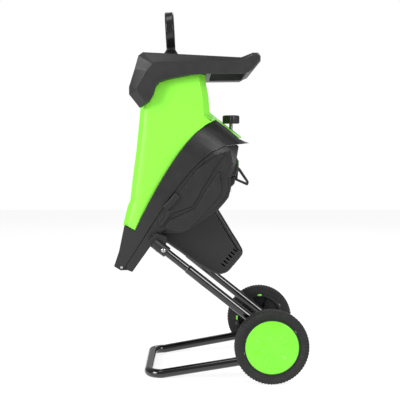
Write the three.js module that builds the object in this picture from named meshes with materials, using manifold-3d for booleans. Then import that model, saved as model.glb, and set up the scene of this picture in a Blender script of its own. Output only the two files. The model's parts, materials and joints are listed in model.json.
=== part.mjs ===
// Wheeled electric wood chipper: a green feed hopper over a tilted cutter disc, on a tube stand.
// Units are millimetres. +Z is up, +X points to the wheels and handle, +Y is the machine's
// right-hand side, and the origin lies on the ground under the middle of the machine.
import * as THREE from 'three';
import { mergeVertices } from 'three/addons/utils/BufferGeometryUtils.js';
import Module from 'manifold-3d';

const wasm = await Module();
wasm.setup();

// ---------------------------------------------------------------- driving dimensions
const GAP = 0.4;                                    // clearance between touching pieces
const SHORTEST = 0.5;                               // shortest straight run in an outline
const TILT = THREE.MathUtils.degToRad(51.5);        // slope of the cutter disc
const DISC = { x: -62, z: 452, r: 108 };            // cutter disc centre and radius

const WHEEL = { x: 146, z: 89, r: 89, y: 191, capR: 63.5 };
const AXLE_R = 4;
const TUBE_R = 11;                                  // stand tube
const LEG_R = 9.5;                                  // upper legs, which plug into the stand tube
const BEND = { x: 139.5, z: 82.5, r: 27 };          // hairpin round the axle
const FOOT = { x: -150, cornerR: 33, y: 137, rise: THREE.MathUtils.degToRad(10.2) };
const LEG_Y = 156;
const HAIRPIN_Y = 150;

const HOUSING_Y = 130;                              // half width of the cutter chamber
const WALL = 4;                                     // plastic wall
const COLLAR = { y: 140, depth: 17 };
const MOTOR_Y = 76;
const SKEW = 49.8;                                  // motor axis to cutter axis
const GEAR = { module: 1.5, teeth: 56, pinion: 10 };
const HINGE = { x: -216, z: 268, r: 3.5 };          // hopper hinge pin
const FEED = { x: -98, halfX: 31, halfY: 72, top: 702 };
const KNOB = { x: 57, z: 623, r: 22, height: 21, studR: 5, studEnd: 573 };

const E1 = new THREE.Vector2(Math.cos(TILT), Math.sin(TILT));    // up along the disc
const E2 = new THREE.Vector2(Math.sin(TILT), -Math.cos(TILT));   // along the shafts, to the motor

// ---------------------------------------------------------------- finishes
const finish = (color, roughness, metalness = 0) =>
  new THREE.MeshStandardMaterial({ color, roughness, metalness });
const GREEN = finish('#7fe83a', 0.35);
const BLACK = finish('#1d1e20', 0.5);
const GLOSS = finish('#0c0c0d', 0.2);
const RUBBER = finish('#19191a', 0.85);
const STEEL = finish('#b9bcc0', 0.3, 1);
const ZINC = finish('#d2d3d4', 0.35, 1);
const ALLOY = finish('#a8abae', 0.45, 1);
const COPPER = finish('#b4692f', 0.4, 1);
const RED = finish('#c8201c', 0.4);

// ---------------------------------------------------------------- solids
// Closed geometry with shared vertices, no slivers and its faces pointing out.
function closed(geometry) {
  const bare = geometry.clone();
  bare.deleteAttribute('normal');
  bare.deleteAttribute('uv');
  const merged = mergeVertices(bare, 1e-3);
  const place = merged.getAttribute('position');
  const index = merged.getIndex().array;
  const kept = [];
  let volume = 0;
  const [a, b, c] = [new THREE.Vector3(), new THREE.Vector3(), new THREE.Vector3()];
  for (let i = 0; i < index.length; i += 3) {
    const [p, q, r] = [index[i], index[i + 1], index[i + 2]];
    if (p === q || q === r || r === p) continue;
    kept.push(p, q, r);
    a.fromBufferAttribute(place, p);
    b.fromBufferAttribute(place, q);
    c.fromBufferAttribute(place, r);
    volume += a.dot(b.cross(c));
  }
  if (volume < 0) kept.reverse();
  merged.setIndex(kept);
  return merged;
}

function solid(geometry) {
  const merged = closed(geometry);
  return new wasm.Manifold(new wasm.Mesh({
    numProp: 3,
    vertProperties: new Float32Array(merged.getAttribute('position').array),
    triVerts: new Uint32Array(merged.getIndex().array),
  }));
}

function geometryOf(manifold) {
  const mesh = manifold.getMesh();
  const geometry = new THREE.BufferGeometry();
  geometry.setAttribute('position', new THREE.BufferAttribute(mesh.vertProperties, 3));
  geometry.setIndex(new THREE.BufferAttribute(mesh.triVerts, 1));
  return geometry;
}

// Outline through corners [x, y, rounding], each corner eased by its rounding length.
function outline(corners) {
  const shape = new THREE.Shape();
  corners.forEach(([x, y, ease = 0], i) => {
    const corner = new THREE.Vector2(x, y);
    const before = new THREE.Vector2(...corners.at(i - 1)).sub(corner);
    const after = new THREE.Vector2(...corners[(i + 1) % corners.length]).sub(corner);
    const from = before.setLength(Math.min(ease, before.length() / 2)).add(corner);
    const to = after.setLength(Math.min(ease, after.length() / 2)).add(corner);
    if (i === 0) shape.moveTo(from.x, from.y);
    else shape.lineTo(from.x, from.y);
    if (ease > 0) shape.quadraticCurveTo(x, y, to.x, to.y);
  });
  shape.closePath();
  return shape;
}

// The outline as straight runs, without the doubled points where its pieces join.
function runs(shape, smooth) {
  const points = shape.getPoints(smooth);
  return points.filter((point, i) => point.distanceTo(points.at(i - 1)) > SHORTEST);
}

// A side outline in X and Z, made solid from y0 to y1, with eased edges.
function slab(shape, y0, y1, bevel = 0, depth = bevel, smooth = 5) {
  const geometry = new THREE.ExtrudeGeometry(new THREE.Shape(runs(shape, smooth)), {
    depth: y1 - y0 - 2 * depth,
    bevelEnabled: bevel > 0,
    bevelThickness: depth,
    bevelSize: bevel,
    bevelOffset: -bevel,
    bevelSegments: 1,
  });
  return geometry.rotateX(Math.PI / 2).translate(0, y1 - depth, 0);
}

// An outline across the shafts, made solid from low to high along them, in the tilted frame.
function plate(shape, low, high, smooth = 6) {
  const geometry = new THREE.ExtrudeGeometry(shape, {
    depth: high - low,
    curveSegments: smooth,
    bevelEnabled: false,
  });
  return geometry.translate(0, 0, low);
}

function box(x0, x1, y0, y1, z0, z1) {
  const geometry = new THREE.BoxGeometry(x1 - x0, y1 - y0, z1 - z0);
  return geometry.translate((x0 + x1) / 2, (y0 + y1) / 2, (z0 + z1) / 2);
}

// Solid of revolution about the Y axis through [x, z]; the profile holds [radius, y] pairs.
function turned(profile, x = 0, z = 0, sides = 24) {
  const points = profile.map(([r, y]) => new THREE.Vector2(r, y));
  const geometry = new THREE.LatheGeometry(points, sides);
  return geometry.translate(x, 0, z);
}

// The same about the shaft direction of the tilted frame, at a place along the slope.
function spun(profile, along = 0, sides = 24) {
  return turned(profile, 0, 0, sides).rotateX(Math.PI / 2).translate(along, 0, 0);
}

// The same about a vertical axis at x.
function upright(profile, x, sides = 18) {
  return turned(profile, 0, 0, sides).rotateX(Math.PI / 2).translate(x, 0, 0);
}

// Lathe profiles of a round bar and of a ring.
const bar = (r, low, high) => [[0, low], [r, low], [r, high], [0, high]];
const ring = (inner, outer, low, high) =>
  [[inner, low], [outer, low], [outer, high], [inner, high], [inner, low]];

// Round rod along a curve.
function rod(curve, r, steps, sides = 12) {
  const section = new THREE.Shape();
  for (let i = 0; i < sides; i += 1) {
    const turn = (i + 0.5) * 2 * Math.PI / sides;
    const spot = [r * Math.cos(turn), r * Math.sin(turn)];
    if (i === 0) section.moveTo(...spot);
    else section.lineTo(...spot);
  }
  section.closePath();
  return new THREE.ExtrudeGeometry(section, {
    steps,
    extrudePath: curve,
    bevelEnabled: false,
  });
}

// Body through outlines of matching corners [x, y], stacked from the bottom up.
function stacked(levels) {
  const count = levels[0].corners.length;
  const points = levels.flatMap(({ z, corners }) => corners.map(([x, y]) => [x, y, z]));
  const cap = THREE.ShapeUtils.triangulateShape(
    levels[0].corners.map((spot) => new THREE.Vector2(...spot)), []);
  const last = points.length - count;
  const faces = cap.flatMap(([a, b, c]) => [[a, c, b], [last + a, last + b, last + c]]);
  for (let base = 0; base < last; base += count) {
    for (let i = 0; i < count; i += 1) {
      const j = (i + 1) % count;
      faces.push([base + i, base + j, base + count + j]);
      faces.push([base + i, base + count + j, base + count + i]);
    }
  }
  const geometry = new THREE.BufferGeometry();
  geometry.setAttribute('position', new THREE.Float32BufferAttribute(points.flat(), 3));
  geometry.setIndex(faces.flat());
  return geometry;
}

// Tapered body between rectangles {z, x, halfX, halfY} stacked from the bottom up.
const tapered = (sections) => stacked(sections.map(({ z, x, halfX, halfY }) => ({
  z,
  corners: [[-1, -1], [1, -1], [1, 1], [-1, 1]].map(([i, j]) => [x + i * halfX, j * halfY]),
})));

// Body between two outlines with matching corners, standing at two places along Y.
function lofted(first, firstY, second, secondY) {
  const count = first.length;
  const points = [
    ...first.map((spot) => [spot.x, firstY, spot.y]),
    ...second.map((spot) => [spot.x, secondY, spot.y]),
  ];
  const faces = THREE.ShapeUtils.triangulateShape(first, []).map(([a, b, c]) => [a, c, b]);
  THREE.ShapeUtils.triangulateShape(second, []).forEach(([a, b, c]) =>
    faces.push([a + count, b + count, c + count]));
  for (let i = 0; i < count; i += 1) {
    const j = (i + 1) % count;
    faces.push([i, j, count + j], [i, count + j, count + i]);
  }
  const geometry = new THREE.BufferGeometry();
  geometry.setAttribute('position', new THREE.Float32BufferAttribute(points.flat(), 3));
  geometry.setIndex(faces.flat());
  return geometry;
}

const chipper = new THREE.Group();
const drive = new THREE.Group();                    // tilted frame: X up the disc, Z up the shafts
drive.position.set(DISC.x, 0, DISC.z);
drive.rotation.y = -TILT;
chipper.add(drive);

function add(name, shape, material, parent = chipper) {
  const geometry = shape.isBufferGeometry ? closed(shape) : geometryOf(shape);
  geometry.computeVertexNormals();
  const mesh = new THREE.Mesh(geometry, material);
  mesh.name = name;
  parent.add(mesh);
  return mesh;
}

// Places a solid drawn in the tilted frame into the machine's frame.
function tilted(geometry) {
  return geometry.rotateY(-TILT).translate(DISC.x, 0, DISC.z);
}

// ---------------------------------------------------------------- outline tools
const FINE = 9;                                     // straight runs along a long curve
const SEAM = [[-205, 273], [-100, 437], [-25, 572], [67, 569]];      // hopper meets casing
const CREST = [[-182, 359], [-141, 445], [-55, 610], [17, 630]];     // skirt meets green shell

// Adds a cubic curve, moved along the shafts by offset, to a shape that has reached its start.
function follow(shape, curve, offset = 0, backwards = false) {
  const spots = curve.map(([x, z]) => [x + offset * E2.x, z + offset * E2.y]);
  if (backwards) spots.reverse();
  shape.lineTo(...spots[0]);
  shape.bezierCurveTo(...spots[1], ...spots[2], ...spots[3]);
}

function through(shape, corners) {
  corners.forEach((corner) => shape.lineTo(...corner));
}

// The outline moved inwards by a wall thickness.
function inset(shape, wall, smooth = 5) {
  const points = runs(shape, smooth);
  if (THREE.ShapeUtils.area(points) < 0) points.reverse();
  const moved = points.map((point, i) => {
    const back = point.clone().sub(points.at(i - 1)).normalize();
    const on = points[(i + 1) % points.length].clone().sub(point).normalize();
    const normal = new THREE.Vector2(-back.y - on.y, back.x + on.x).normalize();
    const lean = Math.max(normal.dot(new THREE.Vector2(-on.y, on.x)), 0.4);
    return point.clone().add(normal.multiplyScalar(wall / lean));
  });
  return new THREE.Shape(moved);
}

// What stays inside the cutter chamber's plan, seen along the shafts.
function chamber(half, low = -170, high = 170) {
  const rear = 200 - (HOUSING_Y - half);
  const shape = outline([
    [-262, -half + 28], [-100, -half, 70], [rear, -half, 125],
    [rear, half, 125], [-100, half, 70], [-262, half - 28],
  ]);
  return solid(tilted(plate(shape, low, high, 10)));
}

// ---------------------------------------------------------------- stand
const LEG_END = new THREE.Vector2(BEND.x, BEND.z).addScaledVector(E1, BEND.r);
const legPoint = (up, side) => {
  const spot = LEG_END.clone().addScaledVector(E2, -up);
  const y = THREE.MathUtils.lerp(HAIRPIN_Y, LEG_Y, Math.min(up / 350, 1));
  return new THREE.Vector3(spot.x, side * y, spot.y);
};
const LEG_JOIN = 270;                               // stand tube's upper end above the hairpin
const SOCKET = { low: 331, high: 372, r: 13.5 };

function standHalf(side) {
  const points = [LEG_JOIN, 180, 90, 12].map((up) => legPoint(up, side));
  const last = -Math.PI / 2 + FOOT.rise;
  for (let i = 0; i <= 6; i += 1) {
    const turn = THREE.MathUtils.lerp(TILT, last, i / 6);
    const x = BEND.x + BEND.r * Math.cos(turn);
    const z = BEND.z + BEND.r * Math.sin(turn);
    points.push(new THREE.Vector3(x, side * HAIRPIN_Y, z));
  }
  const corner = new THREE.Vector3(FOOT.x + FOOT.cornerR, side * FOOT.y, TUBE_R);
  const heel = points.at(-1).clone();
  [0.05, 0.35, 0.7, 0.95].forEach((part) => points.push(heel.clone().lerp(corner, part)));
  for (let i = 0; i <= 4; i += 1) {
    const turn = i * Math.PI / 8;
    const x = corner.x - FOOT.cornerR * Math.sin(turn);
    const y = side * (FOOT.y - FOOT.cornerR * (1 - Math.cos(turn)));
    points.push(new THREE.Vector3(x, y, TUBE_R));
  }
  return points;
}
const standPath = [...standHalf(-1), ...standHalf(1).reverse()];
const standCurve = new THREE.CatmullRomCurve3(standPath, false, 'centripetal');
add('stand_tube', rod(standCurve, TUBE_R, 96), GLOSS);

const SIDES = [['left', -1], ['right', 1]];
const mirror = (side, low, high) => (side < 0 ? [-high, -low] : [low, high]);

SIDES.forEach(([name, side]) => {
  const leg = new THREE.LineCurve3(legPoint(LEG_JOIN + GAP, side), legPoint(SOCKET.high - 8, side));
  add(`${name}_leg`, rod(leg, LEG_R, 2, 16), GLOSS);

  const hold = BEND.r - TUBE_R - GAP;                // web that fills the hairpin
  const web = new THREE.Shape();
  const legSide = new THREE.Vector2(BEND.x, BEND.z).addScaledVector(E1, hold - 1);
  const footNormal = new THREE.Vector2(Math.sin(FOOT.rise), -Math.cos(FOOT.rise));
  const footSide = new THREE.Vector2(BEND.x, BEND.z).addScaledVector(footNormal, hold - 1);
  const legTail = legSide.clone().addScaledVector(E2, -34);
  web.moveTo(legTail.x, legTail.y);
  web.lineTo(legSide.x, legSide.y);
  web.absarc(BEND.x, BEND.z, hold - 1, TILT, -Math.PI / 2 + FOOT.rise, true);
  web.lineTo(footSide.x - 34 * Math.cos(FOOT.rise), footSide.y - 34 * Math.sin(FOOT.rise));
  web.closePath();
  const bracket = solid(slab(web, ...mirror(side, HAIRPIN_Y - 3, HAIRPIN_Y + 3)));
  const bore = solid(turned(bar(AXLE_R + 0.3, -300, 300), WHEEL.x, WHEEL.z, 20));
  add(`${name}_axle_bracket`, bracket.subtract(bore), GLOSS);
});

add('axle_rod', turned(bar(AXLE_R, -WHEEL.y - 12, WHEEL.y + 12), WHEEL.x, WHEEL.z, 20), ZINC);

// ---------------------------------------------------------------- wheels
SIDES.forEach(([name, side]) => {
  const across = (pairs) => pairs.map(([r, y]) => [r, side * (WHEEL.y + y)]);
  const wheelPiece = (piece, pairs, material, sides) =>
    add(`${name}_${piece}`, turned(across(pairs), WHEEL.x, WHEEL.z, sides), material);
  wheelPiece('tyre', [
    [67, -15], [83, -19], [87.5, -16.5], [WHEEL.r, -11], [WHEEL.r, 11], [87.5, 16.5], [83, 19],
    [67, 12], [67, -15],
  ], RUBBER, 40);
  wheelPiece('rim', [
    [AXLE_R + 0.3, -16], [15, -16], [18, -5], [56, -5], [60, -15], [66.6, -15], [66.6, 12],
    [60, 12], [56, -1], [18, -1], [15, 8.5], [AXLE_R + 0.3, 8.5], [AXLE_R + 0.3, -16],
  ], BLACK, 36);
  wheelPiece('wheel_cap', [
    [0, 13], [50, 12.4], [WHEEL.capR, 12.4], [WHEEL.capR, 14.5], [54, 17], [30, 19.3], [0, 20],
  ], GREEN, 36);
  wheelPiece('push_nut', ring(AXLE_R + 0.1, 10, 9, 11.6), ZINC, 16);
  wheelPiece('axle_spacer', ring(AXLE_R + 0.3, 8, -28, -16.5), BLACK, 16);
});

// ---------------------------------------------------------------- lower casing
const casingRight = [[72, 565], [63, 521], [50, 487], [52, 465], [46, 441], [36, 428], [21, 411]];
const casingLow = [[-51, 361], [-66, 355], [-112, 354], [-145, 320], [-190, 256], [-201, 260]];
const casingShape = new THREE.Shape();
casingShape.moveTo(...casingRight[0]);
through(casingShape, [...casingRight.slice(1), ...casingLow]);
follow(casingShape, SEAM, GAP);
const casingFull = solid(slab(casingShape, -HOUSING_Y, HOUSING_Y, 0, 0, FINE))
  .intersect(chamber(HOUSING_Y - 2));

const casingHollow = new THREE.Shape();
casingHollow.moveTo(60, 600);
through(casingHollow, [[66, 566], [58, 523], [45, 488], [47, 465], [42, 444], [18, 417]]);
through(casingHollow, [[-54, 366], [-68, 360], [-114, 359], [-149, 323], [-198, 252], [-225, 268]]);
through(casingHollow, [[-170, 370], [-60, 540]]);
const hollow = solid(slab(casingHollow, -HOUSING_Y, HOUSING_Y)).intersect(chamber(HOUSING_Y - 6));

const motorCorners = [
  [23, 406], [38, 382], [65, 337], [78, 317, 4], [84, 307, 6], [84, 295, 8], [70, 278],
  [53, 258, 6], [45, 250, 6], [30, 245, 8], [18, 245, 8], [-12, 260], [-93, 315], [-106, 325],
];
const motorShape = outline([...motorCorners, [-116, 348], [-66, 400], [0, 440]]);
const motorSpace = solid(slab(inset(motorShape, WALL), -MOTOR_Y + WALL, MOTOR_Y - WALL));

const hingeBore = solid(turned(bar(HINGE.r + 0.3, -200, 200), HINGE.x, HINGE.z, 16));
const ears = SIDES.map(([, side]) => {
  const eye = turned(bar(9, ...mirror(side, 88, 95)), HINGE.x, HINGE.z, 18);
  const tongue = outline([[HINGE.x, 277], [HINGE.x, 259], [-199, 259], [-186, 270], [-190, 286]]);
  const block = outline([[-198, 264], [-189, 262], [-176, 280], [-176, 303], [-198, 278]]);
  return solid(eye)
    .add(solid(slab(tongue, ...mirror(side, 88, 95))))
    .add(solid(slab(block, ...mirror(side, 88, 112))).intersect(chamber(HOUSING_Y - 3)));
});
const armShape = outline([[-150, 338], [-128, 311], [-106, 328], [-104, 348], [-128, 356]]);
const sockets = SIDES.map(([, side]) => {
  const axis = new THREE.LineCurve3(legPoint(SOCKET.low, side), legPoint(SOCKET.high, side));
  const boss = solid(rod(axis, SOCKET.r, 1, 20))
    .add(solid(slab(armShape, ...mirror(side, HOUSING_Y - 8, LEG_Y))));
  const bore = new THREE.LineCurve3(legPoint(SOCKET.low - 5, side), legPoint(SOCKET.high - 6, side));
  const screw = legPoint(SOCKET.low + 11, side);
  const drill = turned(bar(2.9, ...mirror(side, LEG_Y + 5, LEG_Y + 20)), screw.x, screw.z, 12);
  return boss.subtract(solid(rod(bore, LEG_R + GAP, 1, 16))).subtract(solid(drill));
});
let lowerCasing = casingFull.subtract(hollow).subtract(motorSpace);
[...ears, ...sockets].forEach((piece) => { lowerCasing = lowerCasing.add(piece); });
const lockBoss = solid(upright(bar(8, 545, 566), KNOB.x));
lowerCasing = lowerCasing.subtract(hingeBore)
  .add(lockBoss)
  .subtract(solid(upright(bar(KNOB.studR + 0.3, 550, 600), KNOB.x)));
add('lower_casing', lowerCasing, BLACK);

SIDES.forEach(([name, side]) => {
  const spot = legPoint(SOCKET.low + 11, side);
  const profile = [[0, 10.6], [2.6, 10.6], [2.6, 14], [5, 14], [4.4, 16.4], [0, 17]];
  const across = profile.map(([r, y]) => [r, side * (LEG_Y + y)]);
  add(`${name}_leg_screw`, turned(across, spot.x, spot.z, 14), ZINC);
  const pin = turned(bar(HINGE.r, ...mirror(side, 86, 108)), HINGE.x, HINGE.z, 14);
  add(`${name}_hinge_pin`, pin, ZINC);
});

// Side covers: a base skin with a crescent panel and a six-sided panel standing on it.
const coverShape = new THREE.Shape();
coverShape.moveTo(50, 556);
through(coverShape, [[56, 521], [43, 488], [44, 465], [39, 446], [17, 419], [-53, 368]]);
through(coverShape, [[-66, 362], [-112, 361], [-128, 347], [-139, 358]]);
follow(coverShape, [[-139, 358], [-90, 435], [-30, 545], [50, 556]]);
const crescent = new THREE.Shape();
crescent.moveTo(38, 543);
through(crescent, [[24, 531], [9, 507], [-5, 482], [-20, 458], [-40, 420], [-92, 401], [-114, 370]]);
follow(crescent, [[-124, 370], [-85, 436], [-32, 534], [28, 550]]);
crescent.closePath();
const panel = outline([
  [24, 509, 10], [29, 453, 10], [19, 439, 8], [-51, 364, 10], [-66, 358, 8], [-110, 364, 6],
  [-96, 388, 6], [-35, 415, 10],
]);
SIDES.forEach(([name, side]) => {
  const skin = solid(slab(coverShape, ...mirror(side, HOUSING_Y - 1.6, HOUSING_Y + 0.6)));
  const raise = (shape, height) =>
    solid(slab(shape, ...mirror(side, HOUSING_Y, HOUSING_Y + height), 1.5, 2, 3));
  const room = solid(slab(inset(armShape, -0.6), -200, 200));
  const cover = skin.add(raise(crescent, 4.5)).add(raise(panel, 5)).subtract(room);
  add(`${name}_side_cover`, cover, BLACK);

  const hook = outline([[-83, 453, 3], [-71, 444, 3], [-101, 410, 3], [-113, 419, 3]]);
  const clasp = slab(hook, ...mirror(side, HOUSING_Y + 4.9, HOUSING_Y + 14), 1.2);
  add(`${name}_bag_hook`, clasp, BLACK);
});

// ---------------------------------------------------------------- motor box
const motorOuter = solid(slab(motorShape, -MOTOR_Y, MOTOR_Y, 5, 5));
const casingKeepOut = solid(slab(casingShape, -HOUSING_Y, HOUSING_Y).translate(0.5, 0, -0.5));
const coverRegion = (shift) => solid(slab(outline([
  [13 + shift, 401], [72 + shift, 306], [140, 306], [140, 470], [13 + shift, 470],
]), -120, 120));
const motorShell = motorOuter.subtract(motorSpace).subtract(casingKeepOut);
let motorBox = motorShell.subtract(coverRegion(-GAP));
const VENTS = { count: 6, first: -85, pitch: 9.4, wide: 4, low: -197, high: -184 };
for (let i = 0; i < VENTS.count; i += 1) {
  const start = VENTS.first + i * VENTS.pitch;
  const slot = box(start, start + VENTS.wide, -120, 120, VENTS.low, VENTS.high);
  motorBox = motorBox.subtract(solid(tilted(slot)));
}
add('motor_box', motorBox, BLACK);
add('motor_box_cover', motorShell.intersect(coverRegion(GAP)), BLACK);

// ---------------------------------------------------------------- switch box, inlet and hook
const casingBack = solid(slab(casingShape, -HOUSING_Y, HOUSING_Y).translate(0.5, 0, 0))
  .intersect(chamber(HOUSING_Y - 1.6));
const switchShape = outline([[50, 546], [66, 541, 4], [73, 534, 4], [76, 508, 4], [70, 492, 3], [44, 484]]);
const BUTTONS = [['start_button', -15, GREEN], ['stop_button', 15, RED], ['reset_button', 25, BLACK]];
const buttonZ = { start_button: 522, stop_button: 522, reset_button: 504 };
const buttonR = { start_button: 8, stop_button: 8, reset_button: 4.5 };
const PRESS = 3;                                    // how far a button moves
const pocketBottom = 65;
const buttonPocket = (r, y, z) => turned(bar(r, 0, 40), 0, 0, 18).rotateZ(-Math.PI / 2)
  .translate(pocketBottom, y, z);
let switchBox = solid(slab(switchShape, -34, 34, 3)).subtract(casingBack);
BUTTONS.forEach(([name, y]) => {
  switchBox = switchBox.subtract(solid(buttonPocket(buttonR[name] + GAP, y, buttonZ[name])));
});
add('switch_box', switchBox, BLACK);
BUTTONS.forEach(([name, y, material]) => {
  const r = buttonR[name];
  const cap = turned([[0, 0], [r, 0], [r, 6.8], [r - 1.2, 8], [0, 8]], 0, 0, 18);
  add(name, cap.rotateZ(-Math.PI / 2).translate(pocketBottom + PRESS + GAP, y, buttonZ[name]), material);
});

const inletShape = outline([[42, 482], [69, 490.5], [66, 470, 3], [58, 462, 3], [46, 462, 3]]);
const inletSocket = box(48, 62, -9, 9, 440, 474);
const inlet = solid(slab(inletShape, -19, 19, 2)).subtract(casingBack).subtract(solid(inletSocket));
const switchKeepOut = solid(slab(switchShape, -34, 34).translate(0.5, 0, -0.5));
add('power_inlet', inlet.subtract(switchKeepOut), BLACK);
const hookOuter = outline([[66, 518], [80, 510, 3], [104, 474, 5], [100, 464, 4], [64, 480]]);
const hookInner = outline([[76, 503, 2], [98, 472, 2], [74, 482, 2]]);
const inletKeepOut = solid(slab(inset(inletShape, -0.6), -19.6, 19.6));
add('cable_hook', solid(slab(hookOuter, -5, 5, 1))
  .subtract(solid(slab(hookInner, -20, 20)))
  .subtract(solid(slab(inset(switchShape, -0.5), -34, 34)))
  .subtract(inletKeepOut), BLACK);

// ---------------------------------------------------------------- cutter and gear train
function gearShape(teeth, module, bore) {
  const pitch = teeth * module / 2;
  const shape = new THREE.Shape();
  const flanks = [[-0.34, -1.25], [-0.13, 0.85], [0.13, 0.85], [0.34, -1.25]];
  for (let i = 0; i < teeth; i += 1) {
    flanks.forEach(([turn, rise], k) => {
      const angle = (i + turn) * 2 * Math.PI / teeth;
      const r = pitch + rise * module;
      const spot = [r * Math.cos(angle), r * Math.sin(angle)];
      if (i === 0 && k === 0) shape.moveTo(...spot);
      else shape.lineTo(...spot);
    });
  }
  shape.closePath();
  if (bore > 0) shape.holes.push(new THREE.Path().absarc(0, 0, bore, 0, 2 * Math.PI, true));
  return shape;
}

const SHAFT_R = 8;
const blades = [1, -1].map((way) => ({ way, x: way * 62 }));
let disc = solid(plate(new THREE.Shape().absarc(0, 0, DISC.r, 0, 2 * Math.PI), -4, 4, 24));
disc = disc.subtract(solid(plate(new THREE.Shape().absarc(0, 0, SHAFT_R + 0.3, 0, 2 * Math.PI), -9, 9)));
blades.forEach(({ way, x }) => {
  disc = disc.subtract(solid(box(x - 34, x + 34, way * 20 - 5, way * 20 + 5, -9, 9)));
});
add('blade_disc', disc, STEEL, drive);
blades.forEach(({ way, x }, i) => {
  let blade = solid(box(x - 36, x + 36, -17, 14, 4.4, 8.4));
  [-22, 22].forEach((step) => {
    blade = blade.add(solid(spun([[0, -3], [5, -3], [4, -6.5], [0, -7]].map(([r, h]) => [r, -h + 3]),
      0, 12).translate(x + step, 0, 0)));
  });
  add(`blade_${i + 1}`, blade, STEEL, drive);
});
add('cutter_shaft', spun([
  [0, -52], [SHAFT_R, -52], [SHAFT_R, 4.2], [14, 4.2], [14, 8.5], [5, 11], [0, 11],
], 0, 20), STEEL, drive);
add('cutter_gear', plate(gearShape(GEAR.teeth, GEAR.module, SHAFT_R + 0.2), -40, -26, 12), STEEL, drive);
add('upper_bearing', spun(ring(SHAFT_R + 0.1, 16, -20.5, -11.5), 0, 24), STEEL, drive);
add('lower_bearing', spun(ring(SHAFT_R + 0.1, 16, -52, -43), 0, 24), STEEL, drive);

const gearOutline = (grow) => outline([
  [-82 - grow, -30 - grow, 26], [-10, -52 - grow, 40], [52 + grow, -52 - grow, 46],
  [52 + grow, 52 + grow, 46], [-10, 52 + grow, 40], [-82 - grow, 30 + grow, 26],
]);
const drilled = (base, r, along, low = -80) =>
  base.subtract(solid(spun(bar(r, low, 40), along, 24)));
let gearPlate = solid(plate(new THREE.Shape().absarc(0, 0, 100, 0, 2 * Math.PI), -19, -12.5, 16));
gearPlate = drilled(drilled(gearPlate, 16.3, 0), 6, -SKEW);
add('gear_plate', gearPlate, ALLOY, drive);
let gearCup = solid(plate(gearOutline(0), -57, -19.4, 5))
  .subtract(solid(plate(gearOutline(-4), -53, -10, 5)));
gearCup = drilled(drilled(gearCup, 16.3, 0), 6, -SKEW);
add('gearbox_cup', gearCup, ALLOY, drive);

// Motor: the armature carries the pinion, which turns the driven gear.
const pinionTurn = Math.PI / GEAR.pinion;
const pinion = solid(plate(gearShape(GEAR.pinion, GEAR.module, 0), -40, -25)
  .rotateZ(pinionTurn).translate(-SKEW, 0, 0));
const armature = solid(spun([
  [0, -181], [5, -181], [5, -161], [13, -161], [13, -141], [6, -139], [6, -130], [24, -126],
  [24, -80], [6, -76], [5, -60], [5, -39], [0, -39],
], -SKEW, 24));
add('armature', armature.add(pinion), COPPER, drive);
add('motor_rear_bearing', spun(ring(5.1, 11, -177, -170), -SKEW, 20), STEEL, drive);
add('cooling_fan', spun(ring(6.3, 33, -73, -64), -SKEW, 24), BLACK, drive);
add('stator', spun([
  [25.2, -130], [37, -130], [38, -124], [38, -82], [37, -76], [25.2, -76], [25.2, -130],
], -SKEW, 28), COPPER, drive);
const endBracket = solid(plate(outline([
  [-SKEW - 38, -30, 8], [-SKEW + 30, -30, 8], [-SKEW + 30, 30, 8], [-SKEW - 38, 30, 8],
]), -176, -171, 4));
add('motor_end_bracket', drilled(endBracket, 11.3, -SKEW, -200), ALLOY, drive);
SIDES.forEach(([name, side]) => {
  const holder = box(-SKEW - 5, -SKEW + 5, ...mirror(side, 13.5, 34), -156, -146);
  add(`${name}_brush_holder`, holder, COPPER, drive);
});

// ---------------------------------------------------------------- hopper
const skirtShape = new THREE.Shape();
skirtShape.moveTo(-182, 359);
through(skirtShape, [[-208, 372], [-222, 308], [-235, 270], [-217, 259]]);
follow(skirtShape, SEAM);
through(skirtShape, [[75, 570], [101, 573], [88, 577.5], [73, 584], [46, 608]]);
follow(skirtShape, CREST, 0, true);
const skirtHollow = new THREE.Shape();
skirtHollow.moveTo(-200, 384);
through(skirtHollow, [[-218, 308], [-232, 266], [-240, 244], [-190, 244], [-120, 320], [0, 500]]);
through(skirtHollow, [[62, 540], [66, 571], [67, 582], [44, 602], [20, 650], [-60, 660]]);
const skirt = solid(slab(skirtShape, -HOUSING_Y, HOUSING_Y, 0, 0, FINE))
  .intersect(chamber(HOUSING_Y))
  .subtract(solid(slab(skirtHollow, -HOUSING_Y, HOUSING_Y)).intersect(chamber(HOUSING_Y - 4)))
  .subtract(hingeBore)
  .subtract(solid(upright(bar(6.5, 560, 640), KNOB.x)));
add('hopper_skirt', skirt, BLACK);

// Plan of the green shell at each height: [z, front edge, rear edge]. Its front corners are
// chamfered in two steps and its rear corners in one, and it is a little narrower at the top.
const SHELL_Y = 118;
const SHELL_TOP = 740;
const SHELL_LEVELS = [
  [300, -234, 22], [373, -212, 22], [418, -201, 22], [433, -194.5, 22], [482, -189, 22],
  [555, -179, 22], [625, -172, 22], [641, -170.4, 1], [690, -166.4, -3], [713, -164.6, -8],
  [760, -161, -13],
];
const NARROWING = { from: 560, slope: 0.026 };
function column(wall) {
  return solid(stacked(SHELL_LEVELS.map(([z, front, rear]) => {
    const half = SHELL_Y - NARROWING.slope * Math.max(z - NARROWING.from, 0);
    const edge = [
      [front + wall, half - 20 - 0.4 * wall], [front + 12 + 0.7 * wall, half - 6 - 0.8 * wall],
      [front + 31, half - wall], [rear - 16, half - wall], [rear - wall, half - 22 - 0.3 * wall],
    ];
    return { z, corners: [...edge.map(([x, y]) => [x, -y]), ...edge.reverse()] };
  })));
}
const SPARE = 5;                                    // the trunk's outline stands this far outside
const trunkShape = new THREE.Shape();
trunkShape.moveTo(-161 - SPARE, SHELL_TOP);
through(trunkShape, SHELL_LEVELS.slice(1, 7).reverse().map(([z, front]) => [front - SPARE, z]));
follow(trunkShape, CREST, -GAP);
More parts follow.
